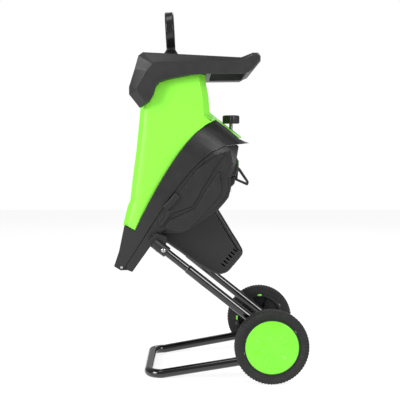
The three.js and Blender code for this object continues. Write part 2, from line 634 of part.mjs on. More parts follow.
through(trunkShape, [[0, 641], [SPARE, 690], [SPARE, SHELL_TOP]]);
const trunkHollow = inset(trunkShape, WALL, 6);
const hollowAt = (rise) => solid(slab(trunkHollow, -SHELL_Y, SHELL_Y).translate(0, 0, rise));
const trunk = solid(slab(trunkShape, -SHELL_Y, SHELL_Y, 0, 0, FINE)).intersect(column(0));
const flangeShape = outline([
  [-8, 690], [-2, 655], [9, 644, 8], [60, 604], [82, 605], [82, 587], [74.5, 584.6], [46.3, 608.6],
  [16, 631], [-20, 619],
]);
const throat = outline([
  [-199, 380], [-158, 446], [-70, 598], [-12, 636], [8, 618], [-40, 560], [-120, 420], [-176, 345],
]);
const skirtRoom = solid(slab(inset(skirtShape, -GAP), -HOUSING_Y, HOUSING_Y));
const flange = solid(slab(flangeShape, -SHELL_Y, SHELL_Y)).intersect(chamber(HOUSING_Y - 2));
const inside = column(WALL);
add('hopper_shell', trunk.add(flange)
  .subtract(skirtRoom)
  .subtract(solid(upright(bar(6.5, 560, 640), KNOB.x)))
  .subtract(hollowAt(0).intersect(inside))
  .subtract(solid(slab(throat, -SHELL_Y, SHELL_Y)).intersect(inside))
  .subtract(hollowAt(14).intersect(inside)), GREEN);

// ---------------------------------------------------------------- collar with its handle
// Each corner of the collar's outer edge, with the matching corner of its flat side face.
const collarCorners = [
  [-172, 783, -138, 762], [-161, 791, -133, 765], [-109, 788.5, -109, 767], [-3, 783, -3, 767],
  [76, 779, 73, 767], [104, 790, 97, 780], [116, 790, 112, 786.5], [122, 782, 119.5, 780],
  [122, 770, 119.5, 771], [105, 749, 102, 749], [86, 741, 86, 739], [-8, 740, -8, 738],
  [-50, 735, -50, 736], [-97, 726, -97, 727],
  [-121, 719, -121, 720], [-130, 708, -130, 709], [-137, 686, -136, 687], [-146, 671, -143, 675],
  [-169, 657, -156, 671], [-195, 690, -176, 697], [-195, 708, -177, 704], [-181, 752, -152, 745],
];
collarCorners.reverse();
const collarOuter = collarCorners.map(([x, z]) => new THREE.Vector2(x, z));
const collarFace = collarCorners.map(([, , x, z]) => new THREE.Vector2(x, z));
const MOUTH = { x0: -150, x1: -20, halfY: 104, z: 756 };
const HANDLE = { x0: 3, x1: 90, halfY: 112 };
const rootY = COLLAR.y - COLLAR.depth;
let collar = solid(slab(new THREE.Shape(collarOuter), -rootY, rootY));
[-1, 1].forEach((side) => {
  collar = collar.add(solid(lofted(collarOuter, side * (rootY - 1), collarFace, side * COLLAR.y)));
});
const shellRoom = outline([
  [-172, 640], [-3, 640], [-7.5, 714], [-11.4, 753], [-11.4, 756], [-163, 756], [-168, 700],
]);
collar = collar
  .subtract(solid(slab(shellRoom, -SHELL_Y - GAP, SHELL_Y + GAP)))
  .subtract(solid(slab(outline([[-190, 640], [-150, 640], [-150, 700], [-168, 700], [-172, 672]]),
    -SHELL_Y - GAP, SHELL_Y + GAP)))
  .subtract(solid(box(MOUTH.x0, MOUTH.x1, -MOUTH.halfY, MOUTH.halfY, 740, 820)))
  .subtract(solid(box(HANDLE.x0, HANDLE.x1, -HANDLE.halfY, HANDLE.halfY, 690, 820)));
add('hopper_collar', collar, BLACK);

const half = (x0, x1) => ({ x: (x0 + x1) / 2, halfX: (x1 - x0) / 2 });
const mouthRect = (z, grow) => ({
  z, ...half(MOUTH.x0 - grow, MOUTH.x1 + grow), halfY: MOUTH.halfY + grow,
});
const feedRect = (z, grow) =>
  ({ z, x: FEED.x, halfX: FEED.halfX + grow, halfY: FEED.halfY + grow });
const funnel = solid(tapered([
  feedRect(FEED.top, 3), mouthRect(MOUTH.z - 4, 3), mouthRect(MOUTH.z - GAP, 3),
])).subtract(solid(tapered([
    feedRect(FEED.top - 5, 0), feedRect(FEED.top, 0), mouthRect(MOUTH.z - 4, 0), mouthRect(MOUTH.z + 5, 0),
  ])));
add('feed_funnel', funnel, BLACK);

const feedTube = solid(box(
  FEED.x - FEED.halfX - 3, FEED.x + FEED.halfX + 3, -FEED.halfY - 3, FEED.halfY + 3,
  380, FEED.top - GAP,
)).subtract(solid(box(
  FEED.x - FEED.halfX, FEED.x + FEED.halfX, -FEED.halfY, FEED.halfY, 300, FEED.top + 9,
))).subtract(solid(tilted(box(-200, 200, -100, 100, -200, 16))));
add('feed_tube', feedTube, BLACK);
add('counter_blade', box(-24, -12, -60, 60, 11.5, 15.5), STEEL, drive);

const GUARD = { z: 776, thick: 6, x0: -126, x1: -62 };
const guardHalf = MOUTH.halfY - GAP;
const guard = solid(box(GUARD.x0, GUARD.x1, -guardHalf, guardHalf, GUARD.z, GUARD.z + GUARD.thick))
  .subtract(solid(box(-113, -77, -58, 58, GUARD.z - 5, GUARD.z + 12)));
add('hopper_guard', guard, BLACK);

// ---------------------------------------------------------------- locking knob
const lobes = new THREE.Shape();
const FLUTES = 12;
for (let i = 0; i < FLUTES * 3; i += 1) {
  const turn = i * 2 * Math.PI / (FLUTES * 3);
  const r = i % 3 === 0 ? KNOB.r - 2 : KNOB.r;
  if (i === 0) lobes.moveTo(r, 0);
  else lobes.lineTo(r * Math.cos(turn), r * Math.sin(turn));
}
lobes.closePath();
const knobBody = new THREE.ExtrudeGeometry(lobes, {
  depth: KNOB.height - 5, bevelThickness: 2.5, bevelSize: 2.5, bevelOffset: -2.5, bevelSegments: 1,
}).translate(KNOB.x, 0, KNOB.z + 2.5);
add('locking_knob', knobBody, BLACK);
add('knob_stud', upright(bar(KNOB.studR, KNOB.studEnd, KNOB.z - GAP), KNOB.x), ZINC);
add('stud_clip', upright(ring(KNOB.studR + 0.3, 8, 575, 577), KNOB.x), ZINC);

// ---------------------------------------------------------------- push stick
const STICK = { x: -90, z: 700, lean: THREE.MathUtils.degToRad(-3), half: 11 };
const stickFace = new THREE.Shape();
stickFace.moveTo(-44, 562);
through(stickFace, [[44, 562], [40, 784], [34, 812], [46, 828]]);
stickFace.bezierCurveTo(60, 868, 46, 905, 0, 905);
stickFace.bezierCurveTo(-46, 905, -60, 868, -46, 828);
through(stickFace, [[-34, 812], [-40, 784]]);
const grip = new THREE.Path();
grip.moveTo(-28, 836);
grip.lineTo(28, 836);
grip.bezierCurveTo(36, 866, 28, 884, 0, 884);
grip.bezierCurveTo(-28, 884, -36, 866, -28, 836);
stickFace.holes.push(grip);
const stickPlate = new THREE.ExtrudeGeometry(stickFace, {
  depth: 2 * STICK.half - 6, curveSegments: 7,
  bevelThickness: 3, bevelSize: 3, bevelOffset: -3, bevelSegments: 1,
}).rotateX(Math.PI / 2).rotateZ(Math.PI / 2).translate(3 - STICK.half, 0, 0);
const stop = tapered([
  { z: 784, x: -1, halfX: 19, halfY: 63 }, { z: 792, x: -1, halfX: 19, halfY: 63 },
  { z: 806, x: 0, halfX: 11.5, halfY: 40 },
]);
const stick = solid(stickPlate.translate(0, 0, -STICK.z).rotateY(STICK.lean).translate(STICK.x, 0, STICK.z))
  .add(solid(stop.translate(0, 0, -STICK.z).rotateY(STICK.lean).translate(STICK.x, 0, STICK.z)));
add('push_stick', stick, BLACK);

export default chipper;
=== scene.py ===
"""Looks of a wheeled electric wood chipper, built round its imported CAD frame.

The machine's own frame is used throughout: +Z is up, +X points to the wheels and the
handle, and +Y is the machine's right-hand side. Sizes are in millimetres until a mesh is
made, and every mesh is in metres.
"""

import json
import logging
import math
from dataclasses import dataclass, field
from enum import Enum
from typing import Callable, Iterable, Sequence

import bmesh
import bpy
from mathutils import Matrix, Vector

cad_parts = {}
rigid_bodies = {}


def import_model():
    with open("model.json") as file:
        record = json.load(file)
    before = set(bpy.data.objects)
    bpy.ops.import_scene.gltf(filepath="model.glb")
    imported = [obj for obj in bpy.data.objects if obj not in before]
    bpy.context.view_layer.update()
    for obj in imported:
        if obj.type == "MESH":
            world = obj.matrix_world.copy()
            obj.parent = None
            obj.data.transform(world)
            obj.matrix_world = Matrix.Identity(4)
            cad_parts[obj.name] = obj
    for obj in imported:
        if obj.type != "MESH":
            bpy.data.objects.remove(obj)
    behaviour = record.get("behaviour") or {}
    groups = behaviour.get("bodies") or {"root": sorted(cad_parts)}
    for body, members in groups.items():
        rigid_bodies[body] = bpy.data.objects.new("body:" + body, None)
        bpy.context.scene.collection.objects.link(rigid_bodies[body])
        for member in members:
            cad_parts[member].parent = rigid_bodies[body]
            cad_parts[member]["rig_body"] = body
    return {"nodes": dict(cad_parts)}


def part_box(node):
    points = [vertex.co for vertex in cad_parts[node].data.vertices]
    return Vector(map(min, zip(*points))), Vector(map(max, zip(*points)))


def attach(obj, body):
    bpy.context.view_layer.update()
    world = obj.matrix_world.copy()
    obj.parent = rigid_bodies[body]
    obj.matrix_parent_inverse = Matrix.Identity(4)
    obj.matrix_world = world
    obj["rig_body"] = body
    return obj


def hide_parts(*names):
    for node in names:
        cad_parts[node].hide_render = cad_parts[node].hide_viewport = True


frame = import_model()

LOG = logging.getLogger("wood_chipper")
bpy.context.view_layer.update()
MM = 0.001

Ring = list[Vector]
Shape = tuple[list[Vector], list[tuple[int, ...]]]


# ------------------------------------------------------------------ finishes
def linear(colour: str) -> tuple[float, float, float, float]:
    """Turns an sRGB hex colour into the linear values that a shader takes.

    Args:
        colour: The colour as "#rrggbb".

    Returns:
        Linear red, green and blue, with an alpha of one.
    """
    channels = [int(colour[i:i + 2], 16) / 255 for i in (1, 3, 5)]
    red, green, blue = (c / 12.92 if c <= 0.04045 else ((c + 0.055) / 1.055) ** 2.4
                        for c in channels)
    return red, green, blue, 1.0


def add_node(tree: bpy.types.NodeTree, kind: str, settings: dict | None = None,
             links: dict | None = None) -> bpy.types.Node:
    """Adds one node with its settings and its incoming links.

    Args:
        tree: The node tree that gets the node.
        kind: Blender's name of the node type.
        settings: Values by input name or number, or by the node's own property.
        links: Output sockets by the input that they feed.

    Returns:
        The new node.
    """
    node = tree.nodes.new(kind)
    for key, value in (settings or {}).items():
        if isinstance(key, int) or key in node.inputs:
            node.inputs[key].default_value = value
        else:
            setattr(node, key, value)
    for key, source in (links or {}).items():
        tree.links.new(source, node.inputs[key])
    return node


class Coat:
    """A material in the making: its node tree, its shader and its pattern coordinates."""

    def __init__(self, name: str, values: dict) -> None:
        """Starts a material.

        Args:
            name: The material's name.
            values: The shader's own values, by socket.
        """
        self.material = bpy.data.materials.new(name)
        self.material.use_nodes = True
        self.tree = self.material.node_tree
        self.tree.nodes.clear()
        self.shader = add_node(self.tree, "ShaderNodeBsdfPrincipled", values)
        add_node(self.tree, "ShaderNodeOutputMaterial", {}, {"Surface": self.shader.outputs[0]})
        self.place = add_node(self.tree, "ShaderNodeTexCoord").outputs["Object"]

    def cloud(self, size_mm: float, detail: float = 3, stretch: Sequence[float] = (1, 1, 1),
              ) -> bpy.types.NodeSocket:
        """Adds a noise pattern.

        Args:
            size_mm: The size of one blotch or grain.
            detail: How many finer layers it has.
            stretch: How much finer it is along X, Y and Z.

        Returns:
            The pattern's value, from 0 to 1.
        """
        place = add_node(self.tree, "ShaderNodeMapping", {"Scale": stretch},
                         {"Vector": self.place}).outputs[0]
        return add_node(self.tree, "ShaderNodeTexNoise", {"Scale": 1 / (size_mm * MM), "Detail": detail},
                        {"Vector": place}).outputs[0]

    def spread(self, value: bpy.types.NodeSocket, low: float, high: float, start: float = 0.3,
               end: float = 0.7) -> bpy.types.NodeSocket:
        """Spreads part of a pattern's range over new values.

        Args:
            value: The pattern.
            low: What start becomes.
            high: What end becomes.
            start: Where the used part of the pattern starts.
            end: Where it ends.

        Returns:
            The spread value.
        """
        limits = {"From Min": start, "From Max": end, "To Min": low, "To Max": high}
        return add_node(self.tree, "ShaderNodeMapRange", limits, {"Value": value}).outputs[0]

    def tint(self, value: bpy.types.NodeSocket, first: str, second: str) -> None:
        """Colours the shader by a pattern.

        Args:
            value: The pattern, from 0 to 1.
            first: The colour at 0, as sRGB hex.
            second: The colour at 1, as sRGB hex.
        """
        add = {"data_type": "RGBA", 6: linear(first), 7: linear(second)}
        mixed = add_node(self.tree, "ShaderNodeMix", add, {0: value}).outputs[2]
        self.tree.links.new(mixed, self.shader.inputs["Base Color"])

    def gloss(self, value: bpy.types.NodeSocket) -> None:
        """Feeds a pattern to the shader's roughness."""
        self.tree.links.new(value, self.shader.inputs["Roughness"])

    def relief(self, value: bpy.types.NodeSocket, height_mm: float, strength: float = 1.0) -> None:
        """Raises the surface by a pattern.

        Args:
            value: The pattern, from 0 to 1.
            height_mm: How high the pattern stands.
            strength: The share of the relief that shows.
        """
        bump = add_node(self.tree, "ShaderNodeBump", {"Strength": strength, "Distance": height_mm * MM},
                        {"Height": value})
        self.tree.links.new(bump.outputs[0], self.shader.inputs["Normal"])


@dataclass(frozen=True)
class MouldedPlastic:
    """Injection-moulded plastic: even colour with soft flow marks and a fine moulded grain.

    The flow marks keep big faces from looking flat, and the grain breaks up reflections.
    """

    title: str
    colour: str
    flow: str
    roughness: float
    grain_mm: float = 1.2
    relief_mm: float = 0.02
    flow_mm: float = 90.0
    ior: float = 1.49

    def build(self) -> bpy.types.Material:
        """Makes the material."""
        coat = Coat(self.title, {"IOR": self.ior})
        coat.tint(coat.spread(coat.cloud(self.flow_mm, 2), 0, 1), self.colour, self.flow)
        rubbed = coat.cloud(self.flow_mm / 4, 4)
        coat.gloss(coat.spread(rubbed, self.roughness * 0.88, self.roughness * 1.12))
        coat.relief(coat.cloud(self.grain_mm, 2), self.relief_mm)
        return coat.material


@dataclass(frozen=True)
class StoveEnamel:
    """Baked black enamel on steel tube: a glassy coat with a slight orange peel.

    The peel, 4 mm from crest to crest, makes the long highlights waver a little.
    """

    title: str
    colour: str
    thin: str
    roughness: float = 0.1
    peel_mm: float = 4.0

    def build(self) -> bpy.types.Material:
        """Makes the material."""
        coat = Coat(self.title, {"IOR": 1.52, "Coat Weight": 0.6, "Coat Roughness": 0.05})
        coat.tint(coat.spread(coat.cloud(30), 0, 1), self.colour, self.thin)
        coat.gloss(coat.spread(coat.cloud(18, 4), self.roughness, self.roughness * 1.8))
        coat.relief(coat.cloud(self.peel_mm, 1), 0.03, 0.5)
        return coat.material


@dataclass(frozen=True)
class TyreRubber:
    """Carbon-black rubber from a mould: deep grey, dull, with dust in its pores.

    The pores are drawn at 0.8 mm, coarser than real, so that they show as a soft haze.
    """

    title: str
    colour: str
    dust: str
    roughness: float = 0.62
    pore_mm: float = 0.8

    def build(self) -> bpy.types.Material:
        """Makes the material."""
        coat = Coat(self.title, {"IOR": 1.5, "Specular IOR Level": 0.35})
        coat.tint(coat.spread(coat.cloud(14, 5), 0, 1), self.colour, self.dust)
        coat.gloss(coat.spread(coat.cloud(9), self.roughness * 0.9, self.roughness * 1.15))
        coat.relief(coat.cloud(self.pore_mm, 3), 0.05, 0.7)
        return coat.material


class MetalWork(Enum):
    """How a metal surface was made, as grain in mm and how much finer it is along Y."""

    GROUND = (6.0, 18.0, 0.01)
    CAST = (1.6, 1.0, 0.12)
    PLATED = (2.4, 1.0, 0.01)
    WOUND = (1.0, 0.12, 0.35)


@dataclass(frozen=True)
class BareMetal:
    """Metal with the marks of its making: ground streaks, cast pits, plating or windings."""

    title: str
    colour: str
    shade: str
    roughness: float
    work: MetalWork

    def build(self) -> bpy.types.Material:
        """Makes the material."""
        grain_mm, finer, height_mm = self.work.value
        coat = Coat(self.title, {"Metallic": 1.0})
        grain = coat.cloud(grain_mm, 3, (1, finer, 1))
        coat.tint(coat.spread(grain, 0, 1), self.colour, self.shade)
        coat.gloss(coat.spread(grain, self.roughness * 0.8, self.roughness * 1.25))
        coat.relief(grain, height_mm, 0.6)
        return coat.material


class Finish(Enum):
    """Every finish on the machine, with the CAD record's slot that it belongs to."""

    HOPPER_GREEN = ("green_shell", MouldedPlastic(
        "moulded_green_polypropylene", "#84e63a", "#88e940", 0.36, relief_mm=0.01))
    CASING_BLACK = ("black_body", MouldedPlastic(
        "moulded_black_nylon_satin", "#161617", "#19191a", 0.42))
    COLLAR_BLACK = ("black_collar", MouldedPlastic(
        "moulded_black_polypropylene_satin", "#1d1d1e", "#212122", 0.45))
    STICK_BLACK = ("black_collar", MouldedPlastic(
        "moulded_black_polypropylene_gloss", "#161617", "#1b1b1c", 0.24, relief_mm=0.008))
    TUBE_BLACK = ("gloss_tube", StoveEnamel("stove_enamelled_steel_tube", "#030303", "#050505"))
    TYRE = ("tyre_rubber", TyreRubber("moulded_tyre_rubber", "#1a1a1a", "#202020"))
    RIM_BLACK = ("rim_plastic", MouldedPlastic(
        "moulded_black_rim_polypropylene", "#151516", "#1a1a1b", 0.38))
    CAP_GREEN = ("cap_green", MouldedPlastic(
        "moulded_green_cap_polypropylene", "#74e22c", "#7ae634", 0.34, relief_mm=0.01, flow_mm=40))
    ZINC = ("zinc", BareMetal("zinc_plated_steel", "#c9cbcd", "#aeb1b4", 0.3, MetalWork.PLATED))
    STEEL = ("steel", BareMetal("ground_tool_steel", "#b4b7ba", "#989ba0", 0.26, MetalWork.GROUND))
    ALLOY = ("alloy", BareMetal("die_cast_aluminium", "#a3a6a9", "#8d9093", 0.46, MetalWork.CAST))
    COPPER = ("copper", BareMetal("wound_copper_wire", "#b46a33", "#7c4220", 0.36, MetalWork.WOUND))
    START_GREEN = ("button_green", MouldedPlastic(
        "moulded_green_button_abs", "#1f8f36", "#23963a", 0.3, flow_mm=12, ior=1.54))
    STOP_RED = ("button_red", MouldedPlastic(
        "moulded_red_button_abs", "#b9201a", "#c0261f", 0.3, flow_mm=12, ior=1.54))
    RESET_BLACK = ("button_black", MouldedPlastic(
        "moulded_black_button_abs", "#111112", "#161617", 0.3, flow_mm=12, ior=1.54))

    @property
    def slot(self) -> str:
        """The CAD record's material slot."""
        return self.value[0]

    @property
    def material(self) -> bpy.types.Material:
        """The finish's material, made when it is first asked for."""
        recipe = self.value[1]
        return bpy.data.materials.get(recipe.title) or recipe.build()


# ------------------------------------------------------------------ shapes
def skin(rings: Sequence[Ring], loop: bool = False) -> Shape:
    """Joins rings of points that match one to one into a closed surface.

    Args:
        rings: The rings, each with the same number of points.
        loop: Whether the last ring joins the first, or both ends are closed by a face.

    Returns:
        The points and the faces.
    """
    across = len(rings[0])
    points = [point for ring in rings for point in ring]
    faces: list[tuple[int, ...]] = []
    for i in range(len(rings) if loop else len(rings) - 1):
        first = i * across
        second = (i + 1) % len(rings) * across
        for j in range(across):
            k = (j + 1) % across
            faces.append((first + j, first + k, second + k, second + j))
    if not loop:
        faces.append(tuple(range(across)))
        faces.append(tuple(range(len(points) - across, len(points))))
    return points, faces


def circle(radius: float, height: float | Callable[[float], float], columns: int) -> Ring:
    """A ring of points about the local Z axis.

    Args:
        radius: Its radius.
        height: Its height, or the height at an angle in radians.
        columns: How many points it has.

    Returns:
        The ring.
    """
    ring = []
    for i in range(columns):
        turn = 2 * math.pi * i / columns
        level = height(turn) if callable(height) else height
        ring.append(Vector((radius * math.cos(turn), radius * math.sin(turn), level)))
    return ring


def turned(profile: Iterable[tuple[float, float]], columns: int = 64, loop: bool = False) -> Shape:
    """A solid of revolution about the local Z axis.

    Args:
        profile: Pairs of radius and height.
        columns: How many points go round.
        loop: Whether the profile closes on itself, as a tyre's does.

    Returns:
        The points and the faces.
    """
    return skin([circle(max(radius, 0.05), height, columns) for radius, height in profile], loop)


def swept(path: Sequence[Vector], radius: float | Callable[[float], float], sides: int = 32) -> Shape:
    """A round tube or rod along a path.

    Args:
        path: The centre line.
        radius: The radius, or the radius at a share of the path's length.
        sides: How many points go round.

    Returns:
        The points and the faces.
    """
    rings = []
    side = Vector((0, 1, 0))
    for i, centre in enumerate(path):
        ahead = path[min(i + 1, len(path) - 1)] - path[max(i - 1, 0)]
        ahead.normalize()
        side = (side - ahead * side.dot(ahead)).normalized()
        over = ahead.cross(side)
        size = radius(i / (len(path) - 1)) if callable(radius) else radius
        rings.append([centre + (side * math.cos(t) + over * math.sin(t)) * size
                      for t in (2 * math.pi * j / sides for j in range(sides))])
    return skin(rings)


def block(size: Sequence[float], taper: float = 1.0, ease: float = 0.8) -> Shape:
    """A block with eased upright corners, standing on the local XY plane.

    Args:
        size: Its length, width and height.
        taper: The top's share of the bottom's size.
        ease: The rounding of its corners and of its top edge.

    Returns:
        The points and the faces.
    """
    length, width, height = size
    rings = []
    for share, level in ((1, 0), (taper, height - ease), (taper, height)):
        cut = ease if level < height else 2 * ease
        shrink = 0 if level < height else ease
        half_x = length / 2 * share - shrink
        half_y = width / 2 * share - shrink
        in_x, in_y = half_x - cut, half_y - cut
        spots = [(half_x, in_y), (in_x, half_y), (-in_x, half_y), (-half_x, in_y),
                 (-half_x, -in_y), (-in_x, -half_y), (in_x, -half_y), (half_x, -in_y)]
        rings.append([Vector((x, y, level)) for x, y in spots])
    return skin(rings)


def facing(origin: Vector, out: Vector, level: Vector = Vector((1, 0, 0))) -> Matrix:
    """The placing that turns local Z to a direction.

    Args:
        origin: Where the local origin goes.
        out: The direction that local Z gets.
        level: The direction that local X leans towards.

    Returns:
        The placing.
    """
    out = out.normalized()
    along = (level - out * level.dot(out)).normalized()
    across = out.cross(along)
    turn = Matrix((along, across, out)).transposed().to_4x4()
    return Matrix.Translation(origin) @ turn


def joined(shapes: Iterable[Shape]) -> Shape:
    """Puts several shapes into one piece's mesh."""
    points: list[Vector] = []
    faces: list[tuple[int, ...]] = []
    for more_points, more_faces in shapes:
        start = len(points)
        points.extend(more_points)
        faces.extend(tuple(start + i for i in face) for face in more_faces)
    return points, faces


def placed(shape: Shape, matrix: Matrix) -> Shape:
    """Moves a shape by a placing."""
    return [matrix @ point for point in shape[0]], shape[1]


def place_of(node: str) -> tuple[Vector, Vector]:
    """The lowest and highest corners of a CAD node, in millimetres."""
    low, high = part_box(node)
    return low / MM, high / MM


def body_of(node: str) -> str:
    """The name of the body that a CAD node rides on."""
    return frame["nodes"][node]["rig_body"]


# ------------------------------------------------------------------ pieces
def dress(piece: bpy.types.Object, finish: Finish) -> None:
    """Gives a piece or a CAD node one finish.

    Args:
        piece: The object.
        finish: Its finish.
    """
    piece.data.materials.clear()
    piece.data.materials.append(finish.material)


def settle(piece: bpy.types.Object, body: str, finish: Finish, stands_for: Sequence[str]) -> None:
    """Puts a finished piece on its body.

    Args:
        piece: The piece.
        body: The CAD body that it rides on.
        finish: Its finish.
        stands_for: The CAD nodes that it replaces.
    """
    dress(piece, finish)
    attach(piece, body)
    if stands_for:
        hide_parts(*stands_for)
    LOG.info("%s: %d faces, on %s", piece.name, len(piece.data.polygons), body)


def make(name: str, shape: Shape, body: str, finish: Finish, stands_for: Sequence[str] = (),
         sharp: float = 38.0) -> bpy.types.Object:
    """Makes a piece from points and faces in millimetres.

    Args:
        name: The piece's name.
        shape: Its points and faces.
        body: The CAD body that it rides on.
        finish: Its finish.
        stands_for: The CAD nodes that it replaces.
        sharp: Edges that turn by more than this many degrees stay crisp.

    Returns:
        The piece.
    """
    mesh = bpy.data.meshes.new(name)
    mesh.from_pydata([point * MM for point in shape[0]], [], shape[1])
    work = bmesh.new()
    work.from_mesh(mesh)
    bmesh.ops.recalc_face_normals(work, faces=work.faces)
    work.to_mesh(mesh)
    work.free()
    mesh.shade_smooth()
    mesh.set_sharp_from_angle(angle=math.radians(sharp))
    piece = bpy.data.objects.new(name, mesh)
    bpy.context.scene.collection.objects.link(piece)
    settle(piece, body, finish, stands_for)
    return piece


def rounded(piece: bpy.types.Object, edge: float, steps: int, turn: float) -> bpy.types.Mesh:
    """Rounds a piece's edges, less where a full rounding would fold the surface over itself.

    Args:
        piece: The piece.
        edge: The rounding, in millimetres.
        steps: How many facets a rounding has.
        turn: Edges that turn by more than this many degrees are rounded.

    Returns:
        The rounded mesh.
    """
    plain_area = sum(face.area for face in piece.data.polygons)
    rounding = piece.modifiers.new("rounded_edges", "BEVEL")
    rounding.segments = steps
    rounding.angle_limit = math.radians(turn)
    rounding.use_clamp_overlap = False
    piece.modifiers.new("even_shading", "WEIGHTED_NORMAL")
    for share in (1, 0.7, 0.5, 0.3, 0.15):
        rounding.width = edge * share * MM
        graph = bpy.context.evaluated_depsgraph_get()
        final = bpy.data.meshes.new_from_object(piece.evaluated_get(graph))
        if sum(face.area for face in final.polygons) <= plain_area * 1.001:
            break
    LOG.info("%s: edges rounded to %.2f mm", piece.name, edge * share)
    piece.modifiers.clear()
    return final


def ease(node: str, finish: Finish, edge: float = 1.0, steps: int = 2, turn: float = 25.0,
         suffix: str = "moulding") -> bpy.types.Object:
    """Makes a piece from a CAD node's solid, with rounded edges and smooth curves.

    Args:
        node: The CAD node, which the piece replaces.
        finish: The piece's finish.
        edge: The rounding of its edges, in millimetres.
        steps: How many facets a rounding has.
        turn: Edges that turn by more than this many degrees are rounded.
        suffix: The last part of the piece's name.

    Returns:
        The piece.
    """
    piece = bpy.data.objects.new(f"{node}_{suffix}", frame["nodes"][node].data.copy())
    bpy.context.scene.collection.objects.link(piece)
    work = bmesh.new()
    work.from_mesh(piece.data)
    bmesh.ops.remove_doubles(work, verts=work.verts, dist=0.02 * MM)
    work.to_mesh(piece.data)
    work.free()
    for layer in list(piece.data.attributes):
        if layer.name in ("custom_normal", "sharp_edge", "sharp_face"):
            piece.data.attributes.remove(layer)
    piece.data.shade_smooth()
    piece.data = rounded(piece, edge, steps, turn)
    piece.data.name = piece.name
    settle(piece, body_of(node), finish, [node])
    return piece


def screw(radius: float, height: float) -> Shape:
    """A pan-head screw's head with a cross recess, standing on the local XY plane.

    Args:
        radius: The head's radius.
        height: Its height.

    Returns:
        The points and the faces.
    """
    columns = 48

    def crown(share: float) -> Callable[[float], float]:
        """The height round the head at a share of its radius."""
        def level(turn: float) -> float:
            """The height at an angle."""
            across = abs(math.sin(2 * (turn - math.pi / 4))) ** 0.5 * share
            dome = height * (1 - 0.35 * share ** 3)
            arm = min(abs(math.cos(turn)), abs(math.sin(turn))) * share
            cut = arm < 0.15 and share < 0.62
            return dome - (height * 0.5 if cut else 0) - 0.02 * across
        return level

    shares = [0.04, 0.12, 0.2, 0.3, 0.4, 0.5, 0.58, 0.66, 0.8, 0.9, 0.97]
    rings = [circle(radius * share, crown(share), columns) for share in shares]
    rings.append(circle(radius, height * 0.45, columns))
    rings.append(circle(radius, 0, columns))
    return skin(rings)


# ------------------------------------------------------------------ the machine's parts
@dataclass
class Stand:
    """The tube stand: one bent tube, two upper legs that plug into it, and the axle webs."""

    slope: float = math.radians(51.5)
    bend: tuple[float, float] = (139.5, 82.5)
    bend_r: float = 27.0
    hairpin_y: float = 150.0
    top_y: float = 156.0
    drift: float = 350.0
    tube_r: float = 11.0
    leg_r: float = 9.5
    join: float = 270.0
    leg_end: float = 363.0
    foot_x: float = -150.0
    foot_y: float = 137.0
    corner_r: float = 33.0
    foot_turn: float = math.radians(-79.9)
    bend_steps: int = 26

    def leg_point(self, up: float, side: int) -> Vector:
        """A point on a leg's axis, some way up from the hairpin."""
        x = self.bend[0] + self.bend_r * math.cos(self.slope) - up * math.sin(self.slope)
        z = self.bend[1] + self.bend_r * math.sin(self.slope) + up * math.cos(self.slope)
        y = self.hairpin_y + (self.top_y - self.hairpin_y) * min(up / self.drift, 1)
        return Vector((x, side * y, z))

    def half(self, side: int) -> list[Vector]:
        """The centre line from a leg's joint to the middle of the front bar."""
        line = [self.leg_point(up, side) for up in (self.join, self.join - 3, self.join - 6, 180, 90, 12)]
        for i in range(self.bend_steps + 1):
            turn = self.slope + (self.foot_turn - self.slope) * i / self.bend_steps
            line.append(Vector((self.bend[0] + self.bend_r * math.cos(turn), side * self.hairpin_y,
                                self.bend[1] + self.bend_r * math.sin(turn))))
        corner = Vector((self.foot_x + self.corner_r, side * self.foot_y, self.tube_r))
        heel = line[-1]
        line.extend(heel.lerp(corner, share) for share in (0.04, 0.3, 0.6, 0.9, 0.97))
        for i in range(self.bend_steps // 2 + 1):
            turn = i * math.pi / self.bend_steps
            line.append(Vector((corner.x - self.corner_r * math.sin(turn),
                                side * (self.foot_y - self.corner_r * (1 - math.cos(turn))), self.tube_r)))
        return line

    def build(self) -> None:
        """Builds and dresses the stand."""
        path = self.half(-1) + self.half(1)[::-1]
        steps = len(path)
        lips = {0: 0.86, 1: 1.0, steps - 2: 1.0, steps - 1: 0.86}
        tube = swept(path, lambda share: self.tube_r * lips.get(round(share * (steps - 1)), 1.0))
        make("stand_tube_bent", tube, "base", Finish.TUBE_BLACK, ["stand_tube"])
        for name, side in (("left", -1), ("right", 1)):
            leg = [self.leg_point(up, side) for up in (self.join + 0.5, self.join + 8, 320, self.leg_end)]
            make(f"{name}_leg_tube", swept(leg, self.leg_r), "base", Finish.TUBE_BLACK, [f"{name}_leg"])
            ease(f"{name}_axle_bracket", Finish.TUBE_BLACK, 0.8, suffix="web")
            low, high = place_of(f"{name}_leg_screw")
            middle = (low + high) / 2
            outer = high.y if side > 0 else low.y
            head = placed(screw(5, 3.2), facing(Vector((middle.x, outer - side * 3.2, middle.z)),
                                                Vector((0, side, 0))))
            shank = placed(turned([(0, -3), (2.5, -3), (2.5, 0.1), (0, 0.1)], 24),
                           facing(Vector((middle.x, outer - side * 3.2, middle.z)), Vector((0, side, 0))))
            make(f"{name}_leg_screw_pan_head", joined([head, shank]), "base", Finish.ZINC,
                 [f"{name}_leg_screw"])


